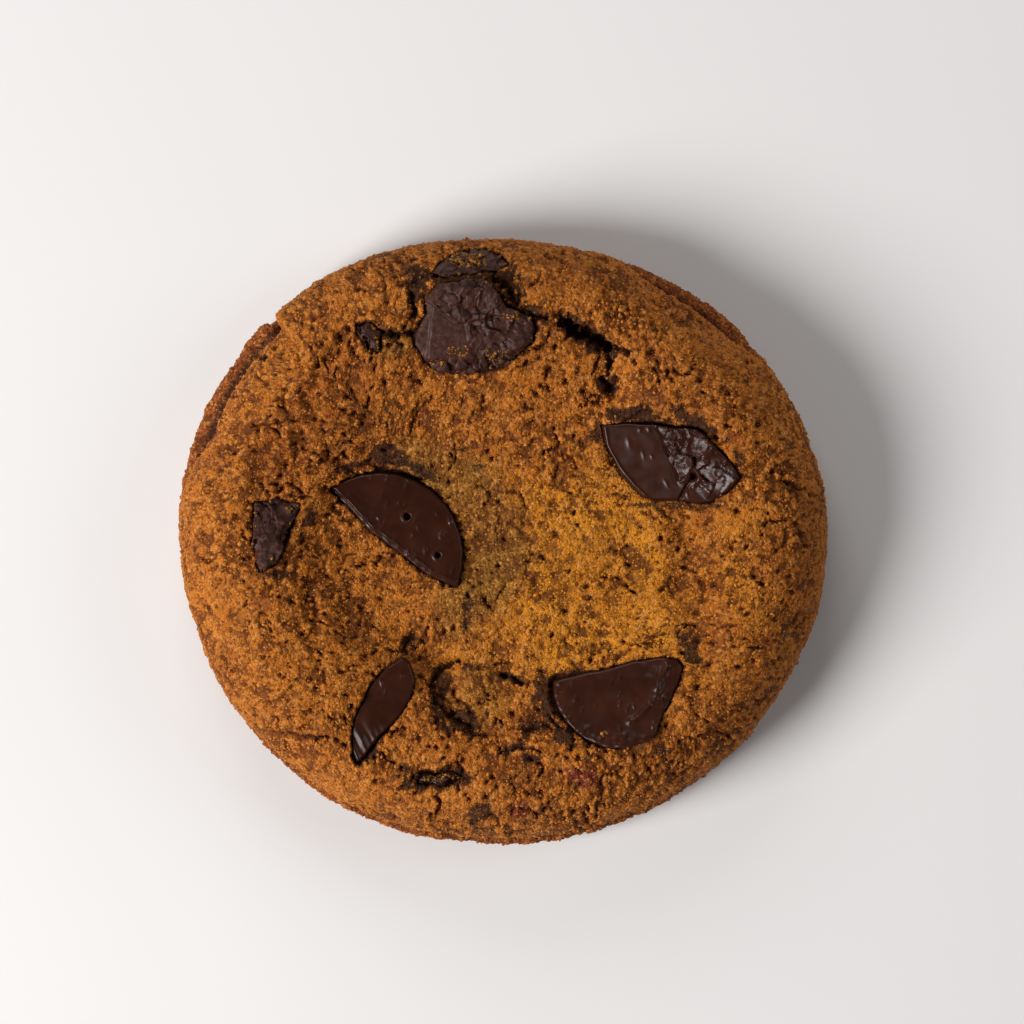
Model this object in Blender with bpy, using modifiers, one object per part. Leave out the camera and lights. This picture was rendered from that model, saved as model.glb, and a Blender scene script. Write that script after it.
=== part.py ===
"""Chocolate chip cookie: a puffy round of baked dough with broken chocolate wafers and lumps in its crown.

Lengths below are in millimetres and become metres when a mesh is made. The origin is on the table
under the middle of the round, +Z is up, and +X runs along its longest side.
"""

import math

import bmesh
import bpy
from mathutils import Vector

MM = 0.001

# The round seen from above: a mean radius with a few slow waves (waves round, height, phase in degrees).
MEAN_RADIUS = 43.55
OUTLINE_WAVES = ((1, 0.43, -129), (2, 1.39, 8), (3, 0.44, -52), (4, 0.16, -176), (6, 0.12, 20))
TURN_STEPS = 96

# The turned section: a sunken middle, a raised rim, a rounded side and a flat base.
MIDDLE_HEIGHT = 12.8
RIM_HEIGHT = 16.4
RIM_START = 0.40
RIM_CREST = 0.76
WAIST_HEIGHT = 6.6
FOOT_HEIGHT = 5.4
BASE_SHARE = 0.945
RIM_POWER = 2.4
SIDE_POWER = 0.62
INNER_SHARES = (0, 0.1, 0.2, 0.29, 0.37, 0.44, 0.5, 0.56, 0.62, 0.68, 0.73)
OUTER_SHARES = (0.78, 0.83, 0.88, 0.92, 0.95, 0.975, 0.99)
BASE_SHARES = (0.6, 0.3, 0)
FOOT_TURN_STEPS = 4
SHARP_ANGLE = math.radians(50)

# Where the crust draws back from the foot: (start, end, fade in, fade out, all in degrees, depth).
FOOT_SPANS = ((135, 174, 4, 16, 2.3), (30, 70, 14, 12, 1.7), (205, 320, 30, 30, 0.8))

# Slow swellings of the crown: (x, y, spread, height).
SWELLINGS = (
    (-29, -14, 8, 1.1),
    (33, 8, 9, 0.9),
    (24, 27, 8, 0.7),
    (31, -16, 8, 0.6),
    (-18, 33, 6, 0.7),
    (0, 19, 9, 0.8),
    (14, -10, 8, 0.5),
    (2, -33, 8, 0.4),
    (-17, 5, 12, -0.5),
)

# Valleys between the middle and the rim: (points along it, half width, depth).
VALLEYS = (
    (((-22, 21), (-32, 13), (-33, 3)), 3.0, 1.0),
    (((9, 30), (14, 26), (15, 20)), 2.4, 1.5),
    (((25, 4), (25, -4), (27, -14)), 2.6, 1.3),
    (((-20, -25), (-9, -32), (0, -29)), 2.6, 1.1),
    (((-8, -17), (-6, -25), (4, -25)), 2.2, 0.8),
)

# Each chunk sits in a pocket cut this much larger all round, by a cutter that rises well above the crown.
GAP = 0.3
CUTTER_RISE = 9.0
CHUNK_BEVEL = 0.45
BEVEL_STEPS = 2

# Half the length over which the crown's slope under a chunk is taken.
SLOPE_REACH = 4.0

# Points of a mesh closer than this, in metres, become one.
WELD = 0.00001

# Wafers are discs broken in half: the round edge is an arc of this radius.
WAFER_RADIUS = 11.5


def smooth_step(low, high, value):
    share = min(1.0, max(0.0, (value - low) / (high - low)))
    return share * share * (3 - 2 * share)


def outline_radius(angle):
    radius = MEAN_RADIUS
    for count, height, phase in OUTLINE_WAVES:
        radius += height * math.cos(count * angle + math.radians(phase))
    return radius


def crust_radius(angle):
    """Radius of the crust, which stops short of the outline where the foot shows."""
    drawn_in = 0.0
    turn = math.degrees(angle) % 360
    for start, end, fade_in, fade_out, depth in FOOT_SPANS:
        begun = smooth_step(start, start + fade_in, turn)
        left = smooth_step(end, end - fade_out, turn)
        drawn_in += depth * begun * left
    return outline_radius(angle) - drawn_in


def crown_height(share):
    """Height of the turned section at this share of the radius, from the middle out to the waist."""
    if share <= RIM_CREST:
        return MIDDLE_HEIGHT + (RIM_HEIGHT - MIDDLE_HEIGHT) * smooth_step(RIM_START, RIM_CREST, share)
    out = min(1.0, (share - RIM_CREST) / (1 - RIM_CREST))
    return WAIST_HEIGHT + (RIM_HEIGHT - WAIST_HEIGHT) * (1 - out**RIM_POWER) ** SIDE_POWER


def distance_to_path(x, y, path):
    here = Vector((x, y))
    nearest = math.inf
    for start, end in zip(path, path[1:]):
        start, end = Vector(start), Vector(end)
        along = (here - start).dot(end - start) / (end - start).length_squared
        foot = start.lerp(end, min(1.0, max(0.0, along)))
        nearest = min(nearest, (here - foot).length)
    return nearest


def relief(x, y):
    """What the swellings add to the crown and the valleys take away."""
    height = 0.0
    for middle_x, middle_y, spread, rise in SWELLINGS:
        height += rise * math.exp(-((x - middle_x) ** 2 + (y - middle_y) ** 2) / (2 * spread**2))
    for path, half_width, depth in VALLEYS:
        height -= depth * math.exp(-((distance_to_path(x, y, path) / half_width) ** 2))
    return height


def surface_height(x, y):
    share = math.hypot(x, y) / crust_radius(math.atan2(y, x))
    return crown_height(share) + relief(x, y)


def section_points():
    """The section as (share of the radius, height), over the rim and back to the axis along the base."""
    points = [(share, crown_height(share)) for share in INNER_SHARES + OUTER_SHARES]
    points += [(1.0, WAIST_HEIGHT), (1.0, FOOT_HEIGHT)]
    for step in range(1, FOOT_TURN_STEPS + 1):
        turn = math.radians(90 * step / FOOT_TURN_STEPS)
        share = BASE_SHARE + (1 - BASE_SHARE) * math.cos(turn)
        points.append((share, FOOT_HEIGHT * (1 - math.sin(turn))))
    points += [(share, 0) for share in BASE_SHARES]
    return points


def shaped_point(point):
    """A point of the plain turned round, moved to the uneven outline, foot and crown."""
    angle = math.atan2(point.y, point.x)
    share = math.hypot(point.x, point.y) / (MEAN_RADIUS * MM)
    height = point.z / MM
    on_crust = height > (WAIST_HEIGHT + FOOT_HEIGHT) / 2
    radius = share * (crust_radius(angle) if on_crust else outline_radius(angle))
    x, y = radius * math.cos(angle), radius * math.sin(angle)
    height += relief(x, y) * smooth_step(WAIST_HEIGHT, MIDDLE_HEIGHT, height)
    return Vector((x, y, height)) * MM


def new_collection(name):
    collection = bpy.data.collections.new(name)
    bpy.context.scene.collection.children.link(collection)
    return collection


def new_material(name, color, roughness):
    material = bpy.data.materials.new(name)
    material.use_nodes = True
    shader = material.node_tree.nodes["Principled BSDF"]
    shader.inputs["Base Color"].default_value = (*color, 1)
    shader.inputs["Roughness"].default_value = roughness
    shader.inputs["Metallic"].default_value = 0
    return material


def evaluated_mesh(obj):
    """The object's mesh with its modifiers applied, or the mesh that a curve makes."""
    graph = bpy.context.evaluated_depsgraph_get()
    return bpy.data.meshes.new_from_object(obj.evaluated_get(graph))


def make_dough(collection, material):
    """The whole round: a section turned about Z, then moved point by point to its uneven shape."""
    profile = bpy.data.meshes.new("dough_section")
    points = [(share * MEAN_RADIUS * MM, 0, height * MM) for share, height in section_points()]
    profile.from_pydata(points, [(i, i + 1) for i in range(len(points) - 1)], [])
    turned = bpy.data.objects.new("dough_section", profile)
    collection.objects.link(turned)
    screw = turned.modifiers.new("turn", "SCREW")
    screw.steps = screw.render_steps = TURN_STEPS
    screw.use_merge_vertices = True
    screw.merge_threshold = WELD
    mesh = evaluated_mesh(turned)
    bpy.data.objects.remove(turned)
    mesh.name = "dough"
    for vertex in mesh.vertices:
        vertex.co = shaped_point(vertex.co)
    mesh.materials.clear()
    mesh.materials.append(material)
    mesh.shade_smooth()
    mesh.set_sharp_from_angle(angle=SHARP_ANGLE)
    dough = bpy.data.objects.new("dough", mesh)
    collection.objects.link(dough)
    return dough


def arc(middle_x, middle_y, radius, start, end, steps):
    """Points round part of a circle, with the angles in degrees."""
    angles = [math.radians(start + (end - start) * step / steps) for step in range(steps + 1)]
    return [(middle_x + radius * math.cos(angle), middle_y + radius * math.sin(angle)) for angle in angles]


def grown(points, distance):
    """A counterclockwise outline with every corner moved outwards by this distance."""
    moved = []
    for before, here, after in zip(points[-1:] + points[:-1], points, points[1:] + points[:1]):
        first = (Vector(here) - Vector(before)).normalized()
        second = (Vector(after) - Vector(here)).normalized()
        along = (first + second).normalized()
        outward = Vector((along.y, -along.x))
        reach = distance / max(0.5, outward.dot(Vector((first.y, -first.x))))
        moved.append(Vector(here) + outward * reach)
    return moved


def make_slab(name, points, low, high, place):
    """A flat outline as a 2D curve, extruded from low to high, made a mesh and sheared to lie at place."""
    curve = bpy.data.curves.new(name, "CURVE")
    curve.dimensions = "2D"
    curve.fill_mode = "BOTH"
    curve.extrude = (high - low) / 2 * MM
    spline = curve.splines.new("POLY")
    spline.points.add(len(points) - 1)
    for corner, point in zip(spline.points, points):
        corner.co = (point[0] * MM, point[1] * MM, 0, 1)
    spline.use_cyclic_u = True
    flat = bpy.data.objects.new(name, curve)
    bpy.context.scene.collection.objects.link(flat)
    mesh = evaluated_mesh(flat)
    bpy.data.objects.remove(flat)
    solid = bmesh.new()
    solid.from_mesh(mesh)
    bmesh.ops.remove_doubles(solid, verts=solid.verts, dist=WELD)
    for vertex in solid.verts:
        height = place(vertex.co.x / MM, vertex.co.y / MM) + (low + high) / 2
        vertex.co.z += height * MM
    bmesh.ops.recalc_face_normals(solid, faces=solid.faces)
    solid.to_mesh(mesh)
    solid.free()
    mesh.name = name
    return bpy.data.objects.new(name, mesh)


def seat(points, proud, lean):
    """The plane of a chunk's top: the crown's own slope under it, raised by proud and tipped by lean."""
    middle_x = sum(x for x, _ in points) / len(points)
    middle_y = sum(y for _, y in points) / len(points)
    reach = SLOPE_REACH
    rise_x = surface_height(middle_x + reach, middle_y) - surface_height(middle_x - reach, middle_y)
    rise_y = surface_height(middle_x, middle_y + reach) - surface_height(middle_x, middle_y - reach)
    slope_x = rise_x / (2 * reach) + lean[0]
    slope_y = rise_y / (2 * reach) + lean[1]
    level = sum(surface_height(x, y) for x, y in points) / len(points) + proud

    def height(x, y):
        return level + slope_x * (x - middle_x) + slope_y * (y - middle_y)

    return height


def make_chunk(name, points, thickness, proud, lean, material, collection, cutters, dough):
    """A piece of chocolate, and the pocket that it leaves in the dough."""
    place = seat(points, proud, lean)
    chunk = make_slab(name, points, -thickness, 0, place)
    chunk.data.materials.append(material)
    chunk.data.shade_smooth()
    chunk.data.set_sharp_from_angle(angle=SHARP_ANGLE)
    collection.objects.link(chunk)
    bevel = chunk.modifiers.new("worn_edges", "BEVEL")
    bevel.width = CHUNK_BEVEL * MM
    bevel.segments = BEVEL_STEPS
    bevel.limit_method = "ANGLE"
    bevel.angle_limit = SHARP_ANGLE

    cutter = make_slab(name + "_pocket", grown(points, GAP), -thickness - GAP, CUTTER_RISE, place)
    cutter.hide_render = True
    cutter.display_type = "WIRE"
    cutters.objects.link(cutter)
    cut = dough.modifiers.new(name + "_pocket", "BOOLEAN")
    cut.operation = "DIFFERENCE"
    cut.solver = "EXACT"
    cut.object = cutter
    return chunk


# Outlines of the chocolate, counterclockwise from above, each with how thick it is, how far its top
# stands above the dough round it, and how much it leans towards +X and +Y.
def chunk_shapes():
    centre = arc(-17, -2, WAFER_RADIUS, -22, 127, 12)
    centre += [(-21.2, 4.7), (-18.2, 1.4), (-14.7, -1.2), (-10.3, -4.6)]
    right = [(13.5, 16.0), (14.0, 13.5), (15.1, 11.3), (16.2, 9.2), (17.9, 7.4), (19.2, 6.1), (21.6, 5.7)]
    right += [(24.1, 5.7), (26.6, 5.3), (28.6, 5.4), (30.7, 6.9), (32.4, 8.8), (31.4, 10.6), (29.0, 13.1)]
    right += [(27.6, 14.7), (26.4, 15.4), (23.0, 15.7), (20.2, 16.1), (16.8, 16.3)]
    bottom = arc(15.6, -19.5, 8.75, 177, 297, 9)
    bottom += [(20.9, -26.3), (21.6, -24.1), (22.9, -21.8), (24.0, -19.6), (24.8, -17.3), (24.1, -16.0)]
    bottom += [(21.9, -15.7), (17.7, -16.4), (14.1, -17.4), (10.2, -18.2)]
    sliver = [(-13.8, -15.8), (-16.0, -17.2), (-18.3, -19.8), (-20.0, -23.3), (-20.9, -26.3)]
    sliver += [(-20.6, -28.9), (-20.0, -30.2), (-19.1, -29.5), (-17.1, -26.8), (-14.2, -24.0)]
    sliver += [(-12.8, -21.6), (-12.0, -19.0), (-12.9, -16.5)]
    left = [(-34.2, 5.3), (-34.2, 1.8), (-34.4, -0.4), (-33.3, -4.2), (-31.2, -3.0), (-30.2, -1.5)]
    left += [(-29.8, 1.3), (-28.1, 4.2), (-27.8, 5.2), (-31.0, 5.8)]
    top = [(-12.6, 28.2), (-12.3, 26.9), (-11.1, 25.7), (-10.4, 24.3), (-9.1, 23.4), (-5.7, 23.0)]
    top += [(-2.3, 23.4), (0.4, 24.2), (2.1, 25.5), (3.8, 27.5), (4.6, 29.2), (3.1, 30.9), (0.4, 32.3)]
    top += [(-1.0, 34.3), (-2.3, 35.9), (-5.7, 36.0), (-9.1, 35.2), (-10.7, 33.3), (-10.8, 30.9)]
    top_rear = [(-9.6, 36.9), (-8.1, 36.4), (-6.4, 36.6), (-3.7, 36.9), (-1.0, 37.2), (0.7, 38.0)]
    top_rear += [(-0.6, 39.6), (-2.3, 40.4), (-5.7, 40.1), (-8.7, 38.6)]
    top_left = [(-20.1, 29.8), (-19.9, 28.4), (-18.0, 25.9), (-16.9, 26.0), (-16.7, 28.6), (-18.4, 30.2)]
    buried = [(-12.6, -32.3), (-11.6, -33.4), (-9.8, -33.1), (-8.6, -33.6), (-6.6, -33.0)]
    buried += [(-5.8, -31.9), (-7.4, -31.4), (-9.2, -31.9), (-11.0, -31.4)]
    return {
        "chunk_centre": (centre, 3.4, 0.5, (-0.04, -0.05)),
        "chunk_right": (right, 3.4, 0.2, (-0.15, -0.08)),
        "chunk_bottom": (bottom, 3.6, 0.2, (0.0, 0.0)),
        "chunk_sliver": (sliver, 3.4, 0.2, (0.05, 0.0)),
        "chunk_left": (left, 3.6, 0.3, (0.0, 0.0)),
        "chunk_top": (top, 5.0, 0.6, (0.0, 0.0)),
        "chunk_top_rear": (top_rear, 4.0, 0.3, (0.0, 0.0)),
        "chunk_top_left": (top_left, 3.0, 0.2, (0.0, 0.0)),
        "chunk_buried": (buried, 2.6, 0.1, (0.0, 0.0)),
    }


def main():
    for obj in list(bpy.data.objects):
        bpy.data.objects.remove(obj)
    cookie = new_collection("chocolate_chip_cookie")
    cutters = new_collection("cutters")
    crumb = new_material("baked_crumb", (0.262, 0.084, 0.015), 0.85)
    chocolate = new_material("dark_chocolate", (0.030, 0.009, 0.004), 0.35)
    dough = make_dough(cookie, crumb)
    for name, (points, thickness, proud, lean) in chunk_shapes().items():
        make_chunk(name, points, thickness, proud, lean, chocolate, cookie, cutters, dough)


main()
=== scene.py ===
"""Looks of the chocolate chip cookie: grainy baked crust, its lower layer, dark chocolate and crumbs.

Shapes are worked out in millimetres, as in the CAD part, and become metres when a mesh is made.
"""

import math
import random

import bmesh
import bpy
import numpy as np
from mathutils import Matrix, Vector, noise


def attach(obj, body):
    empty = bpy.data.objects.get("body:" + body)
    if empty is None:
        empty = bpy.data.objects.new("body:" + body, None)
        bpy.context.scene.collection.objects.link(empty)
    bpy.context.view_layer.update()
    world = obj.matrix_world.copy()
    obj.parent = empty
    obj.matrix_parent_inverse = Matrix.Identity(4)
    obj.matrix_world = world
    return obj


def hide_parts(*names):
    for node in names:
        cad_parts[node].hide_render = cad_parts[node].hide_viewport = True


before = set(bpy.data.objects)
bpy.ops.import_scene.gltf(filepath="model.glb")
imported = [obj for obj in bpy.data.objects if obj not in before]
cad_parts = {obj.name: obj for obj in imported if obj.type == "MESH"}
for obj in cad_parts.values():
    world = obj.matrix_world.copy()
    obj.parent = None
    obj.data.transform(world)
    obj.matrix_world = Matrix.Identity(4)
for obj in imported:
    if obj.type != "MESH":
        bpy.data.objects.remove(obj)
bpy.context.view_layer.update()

MM = 0.001

# ---------------------------------------------------------------- the round, as in the CAD part

MEAN_RADIUS = 43.55
OUTLINE_WAVES = ((1, 0.43, -129), (2, 1.39, 8), (3, 0.44, -52), (4, 0.16, -176), (6, 0.12, 20))
MIDDLE_HEIGHT = 12.8
RIM_HEIGHT = 16.4
RIM_START = 0.40
RIM_CREST = 0.76
WAIST_HEIGHT = 6.6
SIDE_POWER = 0.62
# Where the crust draws back from the foot: (start, end, fade in, fade out, all in degrees, depth).
FOOT_SPANS = ((135, 174, 1.5, 16, 2.3), (30, 70, 14, 12, 1.7), (205, 320, 30, 30, 0.8))
SWELLINGS = (
    (-29, -14, 8, 1.1),
    (33, 8, 9, 0.9),
    (24, 27, 8, 0.7),
    (31, -16, 8, 0.6),
    (-18, 33, 6, 0.7),
    (0, 19, 9, 0.8),
    (14, -10, 8, 0.5),
    (2, -33, 8, 0.4),
    (-17, 5, 12, -0.5),
)
VALLEYS = (
    (((-22, 21), (-32, 13), (-33, 3)), 3.0, 1.0),
    (((9, 30), (14, 26), (15, 20)), 2.4, 1.5),
    (((25, 4), (25, -4), (27, -14)), 2.6, 1.3),
    (((-20, -25), (-9, -32), (0, -29)), 2.6, 1.1),
    (((-8, -17), (-6, -25), (4, -25)), 2.2, 0.8),
)
WAFER_RADIUS = 11.5

# Narrow breaks in the crust: (points along it, half width, depth).
CRACKS = (
    (((8.9, 29.9), (10.5, 28.6), (12.6, 27.6), (14.2, 26.4)), 1.0, 2.6),
    (((13.4, 26.9), (15.3, 26.6), (17.1, 25.9)), 0.4, 1.2),
    (((14.0, 26.4), (14.6, 24.5), (14.4, 22.9)), 0.4, 1.2),
    (((13.8, 22.2), (14.6, 20.9)), 0.7, 1.2),
    (((-32.6, -26.0), (-28.0, -26.9), (-23.9, -26.8), (-21.6, -27.8)), 0.4, 0.9),
    (((38.3, 8.4), (40.6, 7.4), (43.1, 6.2)), 0.4, 0.9),
    (((-0.4, -18.1), (1.0, -18.4), (2.4, -19.2)), 0.4, 1.2),
    (((-0.4, -28.9), (1.2, -28.3), (2.6, -27.5)), 0.4, 1.0),
    (((-12.7, 28.6), (-14.5, 28.2), (-16.4, 28.4)), 0.6, 1.5),
    (((-33.5, 25.6), (-32.9, 25.4)), 0.45, 1.3),
    (((-1.2, 36.2), (0.8, 34.8), (1.6, 32.8)), 0.7, 1.4),
    (((-12.6, 34.0), (-12.0, 31.2)), 0.6, 1.3),
    (((-6.4, -16.4), (-8.4, -17.4), (-9.5, -19.4), (-9.1, -21.6), (-7.8, -23.2), (-6.2, -24.4)), 0.5, 1.0),
    (((-6.2, -24.4), (-4.8, -25.2), (-4.2, -26.4)), 0.8, 0.9),
    (((3.0, -25.6), (5.4, -24.8), (6.6, -25.6)), 0.5, 0.9),
    (((-12.2, -12.6), (-13.6, -14.0), (-13.2, -15.2)), 0.6, 1.0),
    (((2.2, 31.3), (3.8, 30.9), (6.0, 30.6)), 0.4, 1.0),
)

# Broad ragged furrows where the crust sank: the same way as CRACKS.
FURROWS = (
    (((-21.5, 29.0), (-24.5, 24.5), (-26.5, 19.0), (-28.5, 13.0), (-30.5, 8.5)), 1.5, 0.8),
    (((-24.0, 12.0), (-21.5, 9.8), (-20.0, 9.2)), 0.8, 0.6),
    (((24.5, 4.0), (26.2, -3.0), (27.5, -10.0)), 1.1, 0.5),
    (((-25.5, -8.0), (-26.0, -13.0), (-23.5, -18.0)), 1.0, 0.5),
    (((15.5, 20.0), (16.2, 23.5)), 0.9, 0.6),
)

# Where melted chocolate stains the crumb, and a dark hole painted as shade: (x, y, long radius, short radius,
# turn in degrees, strength).
STAINS_AND_HOLE_SHADE = (
    (-8.7, -20.9, 3.6, 1.2, 86, 0.85),
    (-5.8, -24.6, 2.6, 1.5, 10, 0.95),
    (-4.6, -17.2, 1.0, 0.5, 0, 0.9),
    (1.0, -18.6, 1.6, 0.5, -18, 1.1),
    (4.4, -25.2, 2.8, 1.4, 20, 0.75),
    (1.2, -28.3, 1.9, 0.5, 25, 1.0),
    (3.7, -29.6, 1.1, 0.5, 0, 0.9),
    (-4.8, -8.4, 2.6, 0.8, 78, 0.85),
    (11.4, 28.3, 3.4, 1.2, -36, 1.3),
    (15.6, 26.3, 1.8, 0.5, -12, 1.0),
    (14.4, 24.4, 1.8, 0.5, 95, 1.0),
    (14.2, 21.5, 1.4, 0.9, 120, 1.1),
    (-33.2, 25.5, 0.8, 0.6, 60, 1.2),
    (-14.8, 28.4, 2.2, 0.8, 10, 1.1),
    (-14.2, 26.2, 1.5, 0.5, 90, 0.7),
    (-12.0, 35.6, 2.8, 1.5, 75, 1.15),
    (0.9, 35.2, 3.4, 1.5, -65, 1.15),
    (4.0, 31.6, 2.4, 0.9, -30, 0.9),
    (-5.4, 36.4, 5.2, 0.9, 5, 1.2),
    (-9.4, -32.7, 4.4, 1.3, 4, 1.0),
    (-13.5, -31.2, 1.6, 0.6, -20, 0.6),
    (-3.4, -37.4, 2.0, 1.6, 60, 0.85),
    (-13.2, -14.2, 1.9, 1.2, 40, 0.6),
    # A hole, painted dark as shade.
    (-18.3, -28.6, 1.9, 1.3, 60, 1.2),
    (-15.9, 12.0, 2.3, 1.5, -10, 1.15),
    (-11.6, 10.0, 3.4, 0.6, -32, 0.95),
    (-20.6, 10.2, 2.6, 0.7, 18, 0.9),
    (25.6, -14.6, 1.0, 2.2, 10, 1.1),
    (5.9, -21.5, 1.2, 3.6, 8, 1.1),
    (8.2, -26.8, 1.8, 1.0, -45, 1.0),
    (17.2, 17.4, 4.2, 1.0, -3, 1.0),
    (26.6, 16.4, 3.4, 0.9, -28, 0.9),
    (32.4, 11.2, 1.8, 0.7, -55, 0.8),
    (24.0, 4.9, 4.4, 0.5, 0, 0.8),
    (12.9, 15.0, 0.9, 1.8, 0, 0.8),
    (22.0, -29.0, 1.6, 1.0, -20, 0.75),
    (-26.8, 2.6, 0.7, 2.6, -20, 0.9),
    (-31.0, -4.4, 1.6, 0.7, 0, 0.8),
    (-40.2, 16.2, 1.9, 1.0, 60, 0.9),
    (-5.8, 12.6, 1.0, 0.5, 0, 0.7),
    (-3.6, 10.2, 0.6, 0.6, 0, 0.6),
)

# Small places where colour leaks from chocolate underneath: reddish brown, the same way as STAINS_AND_HOLE_SHADE.
BLUSHES = (
    (2.0, -36.7, 1.6, 1.2, 0, 1.0),
    (11.0, -32.3, 2.4, 1.4, -15, 1.0),
    (21.5, 20.0, 1.0, 1.4, 10, 0.6),
    (31.6, 14.4, 0.9, 1.2, 0, 0.5),
    (-33.0, -9.0, 1.4, 0.9, 20, 0.4),
    (36.0, -14.0, 1.2, 0.8, 60, 0.5),
    (-14.5, -36.0, 1.2, 0.8, 10, 0.4),
)


def smooth_step(low, high, value):
    share = np.clip((value - low) / (high - low), 0, 1)
    return share * share * (3 - 2 * share)


def outline_radius(angle):
    radius = np.full_like(angle, MEAN_RADIUS)
    for count, height, phase in OUTLINE_WAVES:
        radius += height * np.cos(count * angle + math.radians(phase))
    return radius


def crust_radius(angle):
    drawn_in = np.zeros_like(angle)
    turn = np.degrees(angle) % 360
    for start, end, fade_in, fade_out, depth in FOOT_SPANS:
        begun = smooth_step(start, start + fade_in, turn)
        drawn_in += depth * begun * smooth_step(end, end - fade_out, turn)
    return outline_radius(angle) - drawn_in


def crown_height(share):
    inner = MIDDLE_HEIGHT + (RIM_HEIGHT - MIDDLE_HEIGHT) * smooth_step(RIM_START, RIM_CREST, share)
    out = np.clip((share - RIM_CREST) / (1 - RIM_CREST), 0, 1)
    outer = WAIST_HEIGHT + (RIM_HEIGHT - WAIST_HEIGHT) * (1 - out**2.4) ** SIDE_POWER
    return np.where(share <= RIM_CREST, inner, outer)


def path_distance(x, y, path):
    nearest = np.full_like(x, np.inf)
    for (x0, y0), (x1, y1) in zip(path, path[1:]):
        dx, dy = x1 - x0, y1 - y0
        along = np.clip(((x - x0) * dx + (y - y0) * dy) / (dx * dx + dy * dy), 0, 1)
        nearest = np.minimum(nearest, np.hypot(x - x0 - along * dx, y - y0 - along * dy))
    return nearest


def relief(x, y):
    height = np.zeros_like(x)
    for middle_x, middle_y, spread, rise in SWELLINGS:
        height += rise * np.exp(-((x - middle_x) ** 2 + (y - middle_y) ** 2) / (2 * spread**2))
    for path, half_width, depth in VALLEYS:
        height -= depth * np.exp(-((path_distance(x, y, path) / half_width) ** 2))
    return height


def surface_height(x, y):
    x, y = np.asarray(x, float), np.asarray(y, float)
    share = np.hypot(x, y) / crust_radius(np.arctan2(y, x))
    return crown_height(share) + relief(x, y)


# ---------------------------------------------------------------- noise

def field(points, size, seed):
    """Smooth noise from about -1 to 1, with lumps of this size in mm."""
    moved = points / size + np.array([17.31, 5.77, 9.13]) * seed
    return np.array([noise.noise(p) for p in moved.tolist()])


# ---------------------------------------------------------------- chocolate outlines

def arc(middle_x, middle_y, radius, start, end, steps):
    angles = np.radians(np.linspace(start, end, steps + 1))
    return [(middle_x + radius * math.cos(a), middle_y + radius * math.sin(a)) for a in angles]


def chunk_shapes():
    """As in the CAD part: name to (outline, thickness, height above the dough, lean to +X and +Y)."""
    centre = arc(-17, -2, WAFER_RADIUS, -22, 127, 12)
    centre += [(-21.2, 4.7), (-18.2, 1.4), (-14.7, -1.2), (-10.3, -4.6)]
    right = [(13.5, 16.0), (14.0, 13.5), (15.1, 11.3), (16.2, 9.2), (17.9, 7.4), (19.2, 6.1), (21.6, 5.7)]
    right += [(24.1, 5.7), (26.6, 5.3), (28.6, 5.4), (30.7, 6.9), (32.4, 8.8), (31.4, 10.6), (29.0, 13.1)]
    right += [(27.6, 14.7), (26.4, 15.4), (23.0, 15.7), (20.2, 16.1), (16.8, 16.3)]
    bottom = arc(15.6, -19.5, 8.75, 177, 297, 9)
    bottom += [(20.9, -26.3), (21.6, -24.1), (22.9, -21.8), (24.0, -19.6), (24.8, -17.3), (24.1, -16.0)]
    bottom += [(21.9, -15.7), (17.7, -16.4), (14.1, -17.4), (10.2, -18.2)]
    sliver = [(-13.8, -15.8), (-16.0, -17.2), (-18.3, -19.8), (-20.0, -23.3), (-20.9, -26.3)]
    sliver += [(-20.6, -28.9), (-20.0, -30.2), (-19.1, -29.5), (-17.1, -26.8), (-14.2, -24.0)]
    sliver += [(-12.8, -21.6), (-12.0, -19.0), (-12.9, -16.5)]
    left = [(-34.2, 5.3), (-34.2, 1.8), (-34.4, -0.4), (-33.3, -4.2), (-31.2, -3.0), (-30.2, -1.5)]
    left += [(-29.8, 1.3), (-28.1, 4.2), (-27.8, 5.2), (-31.0, 5.8)]
    top = [(-12.6, 28.2), (-12.3, 26.9), (-11.1, 25.7), (-10.4, 24.3), (-9.1, 23.4), (-5.7, 23.0)]
    top += [(-2.3, 23.4), (0.4, 24.2), (2.1, 25.5), (3.8, 27.5), (4.6, 29.2), (3.1, 30.9), (0.4, 32.3)]
    top += [(-1.0, 34.3), (-2.3, 35.9), (-5.7, 36.0), (-9.1, 35.2), (-10.7, 33.3), (-10.8, 30.9)]
    top_rear = [(-9.6, 36.9), (-8.1, 36.4), (-6.4, 36.6), (-3.7, 36.9), (-1.0, 37.2), (0.7, 38.0)]
    top_rear += [(-0.6, 39.6), (-2.3, 40.4), (-5.7, 40.1), (-8.7, 38.6)]
    top_left = [(-20.1, 29.8), (-19.9, 28.4), (-18.0, 25.9), (-16.9, 26.0), (-16.7, 28.6), (-18.4, 30.2)]
    buried = [(-12.6, -32.3), (-11.6, -33.4), (-9.8, -33.1), (-8.6, -33.6), (-6.6, -33.0)]
    buried += [(-5.8, -31.9), (-7.4, -31.4), (-9.2, -31.9), (-11.0, -31.4)]
    return {
        "chunk_centre": (centre, 3.4, 0.5, (-0.04, -0.05)),
        "chunk_right": (right, 3.4, 0.2, (-0.15, -0.08)),
        "chunk_bottom": (bottom, 3.6, 0.2, (0.0, 0.0)),
        "chunk_sliver": (sliver, 3.4, 0.2, (0.05, 0.0)),
        "chunk_left": (left, 0.30, 0.3, (0.0, 0.0)),
        "chunk_top": (top, 0.34, 0.6, (0.0, 0.0)),
        "chunk_top_rear": (top_rear, 0.36, 0.3, (0.0, 0.0)),
        "chunk_top_left": (top_left, 0.34, 0.2, (0.0, 0.0)),
        "chunk_buried": (buried, 0.40, 0.1, (0.0, 0.0)),
    }


# How far on each side of a chunk's middle the slope of the dough is taken.
SLOPE_REACH = 4.0


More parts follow.
